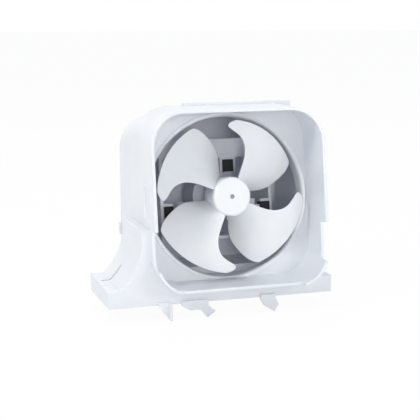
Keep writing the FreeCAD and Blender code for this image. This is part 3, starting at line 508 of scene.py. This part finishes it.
# The socket that takes the harness, moulded in the same natural nylon as the coil frame.
# Its three pins are brass, plated with tin, pressed through it and soldered to the board.
TIN = "#c8cacb"
TIN_DULL = "#a9acae"
TIN_ROUGHNESS = (0.25, 0.4)
TIN_CLOUD_SIZE = 0.6 * MM
TIN_SHEEN_SIZE = 0.8 * MM
TIN_GRAIN_SIZE = 0.3 * MM
TIN_GRAIN_HEIGHT = 0.003 * MM

# Tin plate: a pale, soft grey metal, a little dull, with its grain drawn coarser than it is.
pin_tin, tree, shader, place, clouds, sheen, grain = new_material(
    "tin_plated_brass", (TIN_CLOUD_SIZE, 2), (TIN_SHEEN_SIZE, 2), (TIN_GRAIN_SIZE, 1),
)
shader.inputs["Metallic"].default_value = 1
tinted(tree, shader, clouds, TIN, TIN_DULL)
polished(tree, shader, sheen, TIN_ROUGHNESS)
pitted(tree, shader, grain, TIN_GRAIN_HEIGHT)
dress("connector_socket", coil_nylon)
for pin in ("connector_pin_left", "connector_pin_middle", "connector_pin_right"):
    dress(pin, pin_tin)

# The rotor: a plastic core moulded round the shaft, and a ring of bonded ferrite pressed over it.
# The two washers on the shaft beside it are of the core's own plastic.
FERRITE = "#36373b"
FERRITE_FLECK = "#4b4c51"
FERRITE_ROUGHNESS = (0.45, 0.6)
FERRITE_SHEEN_SIZE = 2 * MM
FLECK_SIZE = 0.35 * MM
FLECK_HEIGHT = 0.006 * MM
FLECK_SPAN = (0.5, 0.7)
CORE_DARK = "#26282c"
CORE_LIGHT = "#303238"
CORE_ROUGHNESS = (0.34, 0.44)
CORE_FLOW_SIZE = 3 * MM
CORE_EDGE = 0.15 * MM

# Bonded ferrite: charcoal grey with brighter flecks, drawn at 0.35 mm, coarser than the real powder.
rotor_ferrite, tree, shader, place, flecks, sheen = new_material(
    "bonded_ferrite", (FLECK_SIZE, 3), (FERRITE_SHEEN_SIZE, 2),
)
tinted(tree, shader, flecks, FERRITE, FERRITE_FLECK, FLECK_SPAN)
polished(tree, shader, sheen, FERRITE_ROUGHNESS)
pitted(tree, shader, flecks, FLECK_HEIGHT)
dress("rotor_magnet", rotor_ferrite)

# Moulded acetal, dark: smooth and slightly waxy.
core_acetal, tree, shader, place, flow, sheen, peel = new_material(
    "dark_acetal", (CORE_FLOW_SIZE, 2), (SHEEN_SIZE, 2), (ORANGE_PEEL_SIZE, 1),
)
tinted(tree, shader, flow, CORE_DARK, CORE_LIGHT)
polished(tree, shader, sheen, CORE_ROUGHNESS)
pitted(tree, shader, peel, ORANGE_PEEL_HEIGHT, edge=CORE_EDGE)
for dark_piece in ("rotor_core", "front_washer", "rear_washer"):
    dress(dark_piece, core_acetal)

# The shaft, a bar of stainless steel ground between wheels, which turns in the two bearings.
# Its front end shows as a small dark dot in the hub of the fan that is pushed on to it.
SHAFT_STEEL = "#85888d"
SHAFT_SHADE = "#6c6f75"
SHAFT_ROUGHNESS = (0.3, 0.4)
SHAFT_TINT_SIZE = 2 * MM
SHAFT_SHEEN_SIZE = 1 * MM
GRINDING_PITCH = 0.3 * MM
GRINDING_DEPTH = 0.002 * MM

# Ground stainless steel: bright, with rings round the bar from the grinding wheel, drawn 0.3 mm apart where
# the real ones are much closer.
ground_steel, tree, shader, place, tint, sheen = new_material(
    "ground_stainless_steel", (SHAFT_TINT_SIZE, 2), (SHAFT_SHEEN_SIZE, 2),
)
shader.inputs["Metallic"].default_value = 1
tinted(tree, shader, tint, SHAFT_STEEL, SHAFT_SHADE)
polished(tree, shader, sheen, SHAFT_ROUGHNESS)
pitted(tree, shader, along(tree, place, axle, GRINDING_PITCH), GRINDING_DEPTH)
dress("shaft", ground_steel)

# The fan: a hub and four broad swept blades in one moulding of white polypropylene, pushed on to the shaft.
# Thin blades let some light through, which keeps them bright against the shade inside the duct.
BLADE_WHITE = "#ebeef2"
BLADE_COOL = "#e6eaef"
PP_IOR = 1.49
PP_ROUGHNESS = (0.33, 0.43)
BLADE_PEEL_SIZE = 1.4 * MM
BLADE_EDGE = 0.3 * MM

# Moulded polypropylene: milky white and waxy, softer in its gloss than the shroud, with a broader orange peel.
blade_polypropylene, tree, shader, place, flow, sheen, peel = new_material(
    "moulded_polypropylene", (FLOW_SIZE, 2), (SHEEN_SIZE, 2), (BLADE_PEEL_SIZE, 1),
)
shader.inputs["IOR"].default_value = PP_IOR
milky(shader, WHITE_PLASTIC_MILK, WHITE_PLASTIC_DEPTH)
tinted(tree, shader, flow, BLADE_WHITE, BLADE_COOL)
polished(tree, shader, sheen, PP_ROUGHNESS)
pitted(tree, shader, peel, ORANGE_PEEL_HEIGHT, edge=BLADE_EDGE)
dress("fan", blade_polypropylene)

# The spring clip round the boss inside the hub, which squeezes the boss so that it can't creep along the shaft.
# It is rolled from spring steel, hardened and blued, and holds by its own tension.
BLUED_STEEL = "#5a5e66"
BLUED_DARK = "#3d4046"
BLUED_ROUGHNESS = (0.28, 0.4)
BLUING_SIZE = 1.5 * MM
CLIP_SHEEN_SIZE = 1 * MM
CLIP_GRAIN_SIZE = 0.4 * MM
CLIP_GRAIN_HEIGHT = 0.003 * MM

# Blued spring steel: a dark grey metal with a satin shine, and a grain drawn coarser than it is.
clip_steel, tree, shader, place, bluing, sheen, grain = new_material(
    "blued_spring_steel", (BLUING_SIZE, 2), (CLIP_SHEEN_SIZE, 2), (CLIP_GRAIN_SIZE, 1),
)
shader.inputs["Metallic"].default_value = 1
tinted(tree, shader, bluing, BLUED_STEEL, BLUED_DARK)
polished(tree, shader, sheen, BLUED_ROUGHNESS)
pitted(tree, shader, grain, CLIP_GRAIN_HEIGHT)
dress("hub_clip", clip_steel)

# The rear cover with the motor's pocket, moulded in the shroud's own ABS and held by four screws.
# It comes out of a second tool, so its sheen is a touch duller than the shroud's.
# Painted light and shade: both cover colours are set lighter and bluer than the shroud's same ABS.
COVER_WHITE_PAINTED_LIGHT_AND_SHADE = "#ebedf4"
COVER_SHADE_PAINTED_LIGHT_AND_SHADE = "#e6e9f2"
COVER_ROUGHNESS = (0.38, 0.48)
ETCH_SIZE = 0.7 * MM
ETCH_HEIGHT = 0.0156 * MM

# Moulded ABS again, from a finely etched tool, with less gloss.  Its colours are lighter and bluer than the
# shroud's: painted light and a painted lilac shade for the inside of the duct, not a difference in the plastic.
# The etching is drawn at 0.7 mm, coarser than the real one, so that it shows.
cover_abs, tree, shader, place, flow, sheen, etching = new_material(
    "etched_white_abs", (FLOW_SIZE, 2), (SHEEN_SIZE, 2), (ETCH_SIZE, 1),
)
shader.inputs["IOR"].default_value = ABS_IOR
milky(shader, WHITE_PLASTIC_MILK, WHITE_PLASTIC_DEPTH)
tinted(tree, shader, flow, COVER_WHITE_PAINTED_LIGHT_AND_SHADE, COVER_SHADE_PAINTED_LIGHT_AND_SHADE)
polished(tree, shader, sheen, COVER_ROUGHNESS)
pitted(tree, shader, etching, ETCH_HEIGHT, edge=MOULDED_EDGE)
dress("back_cover", cover_abs)
for side in ("right", "left"):
    for level in ("low", "high"):
        dress("cover_screw_%s_%s" % (side, level), screw_zinc)

# The studio: a wide round sheet of white paper under the part, a plain pale sky and four soft lamps.  Two lamps
# stand low in front, because the photograph shows light deep inside the duct, one stands higher on the left,
# and one hangs behind and above.
PAPER_WHITE = "#f4f4f4"
PAPER_GLOW = 0.96
PAPER_RADIUS = 12
PAPER_SIDES = 64
BACKDROP_WHITE = "#ffffff"
SKY_SHADE = "#dcdfe9"
SKY_STRENGTH = 0.69
LAMP_WHITE = "#fffdf6"


def seen_directly(tree):
    """1 where the camera, a reflection or clear plastic shows the surface, and 0 where it only lights."""
    rays = add(tree, "ShaderNodeLightPath", {})
    either = add(
        tree, "ShaderNodeMath", {"operation": "MAXIMUM"},
        {0: rays.outputs["Is Camera Ray"], 1: rays.outputs["Is Glossy Ray"]},
    )
    return add(
        tree, "ShaderNodeMath", {"operation": "MAXIMUM"},
        {0: either.outputs["Value"], 1: rays.outputs["Is Transmission Ray"]},
    ).outputs["Value"]


# Backdrop paper: matt white, which takes the part's shadow, and nearly as bright as the sky where it is seen.
paper = bpy.data.materials.new("white_backdrop_paper")
paper.use_nodes = True
tree = paper.node_tree
tree.nodes.clear()
matt = add(tree, "ShaderNodeBsdfDiffuse", {"Color": colour(PAPER_WHITE)})
glow = add(tree, "ShaderNodeEmission", {"Color": colour(BACKDROP_WHITE), "Strength": 1})
share = add(tree, "ShaderNodeMath", {"operation": "MULTIPLY", 1: PAPER_GLOW}, {0: seen_directly(tree)})
blend = add(
    tree, "ShaderNodeMixShader", {},
    {0: share.outputs["Value"], 1: matt.outputs["BSDF"], 2: glow.outputs["Emission"]},
)
add(tree, "ShaderNodeOutputMaterial", {}, {"Surface": blend.outputs["Shader"]})

floor_level = cad_box[0].z
rim = [2 * math.pi * n / PAPER_SIDES for n in range(PAPER_SIDES)]
points = [(PAPER_RADIUS * math.cos(turned), PAPER_RADIUS * math.sin(turned), floor_level) for turned in rim]
paper_mesh = bpy.data.meshes.new("round_paper")
paper_mesh.from_pydata(points, [], [list(range(PAPER_SIDES))])
paper_mesh.materials.append(paper)
round_paper = bpy.data.objects.new("round_paper", paper_mesh)
bpy.context.scene.collection.objects.link(round_paper)

# The sky: it lights the part in a pale cool shade, and is plain white where it is seen.
world = bpy.data.worlds.new("studio_sky")
bpy.context.scene.world = world
world.use_nodes = True
tree = world.node_tree
tree.nodes.clear()
sky = add(tree, "ShaderNodeBackground", {"Color": colour(SKY_SHADE), "Strength": SKY_STRENGTH})
white = add(tree, "ShaderNodeBackground", {"Color": colour(BACKDROP_WHITE), "Strength": 1})
blend = add(
    tree, "ShaderNodeMixShader", {},
    {0: seen_directly(tree), 1: sky.outputs["Background"], 2: white.outputs["Background"]},
)
add(tree, "ShaderNodeOutputWorld", {}, {"Surface": blend.outputs["Shader"]})

# The lamps: degrees to the right of the front, degrees above level, distance and width in metres, and watts.
part_middle = (cad_box[0] + cad_box[1]) / 2
for name, azimuth, height, distance, size, power in (
    ("left_softbox", -66, 40, 1.3, 0.3, 6.2),
    ("right_softbox", 30, 14, 1.5, 0.3, 3.2),
    ("low_softbox", -10, 8, 1.5, 0.25, 3.9),
    ("top_softbox", 175, 72, 1.4, 0.8, 7),
):
    lamp = bpy.data.lights.new(name, "AREA")
    lamp.shape = "SQUARE"
    lamp.size = size
    lamp.energy = power
    lamp.color = colour(LAMP_WHITE)[:3]
    softbox = bpy.data.objects.new(name, lamp)
    bpy.context.scene.collection.objects.link(softbox)
    around, over = math.radians(azimuth), math.radians(height)
    way = Vector((math.sin(around) * math.cos(over), -math.cos(around) * math.cos(over), math.sin(over)))
    softbox.location = part_middle + way * distance
    softbox.rotation_mode = "QUATERNION"
    softbox.rotation_quaternion = (-way).to_track_quat("-Z", "Y")

bpy.context.scene.view_settings.view_transform = "Standard"
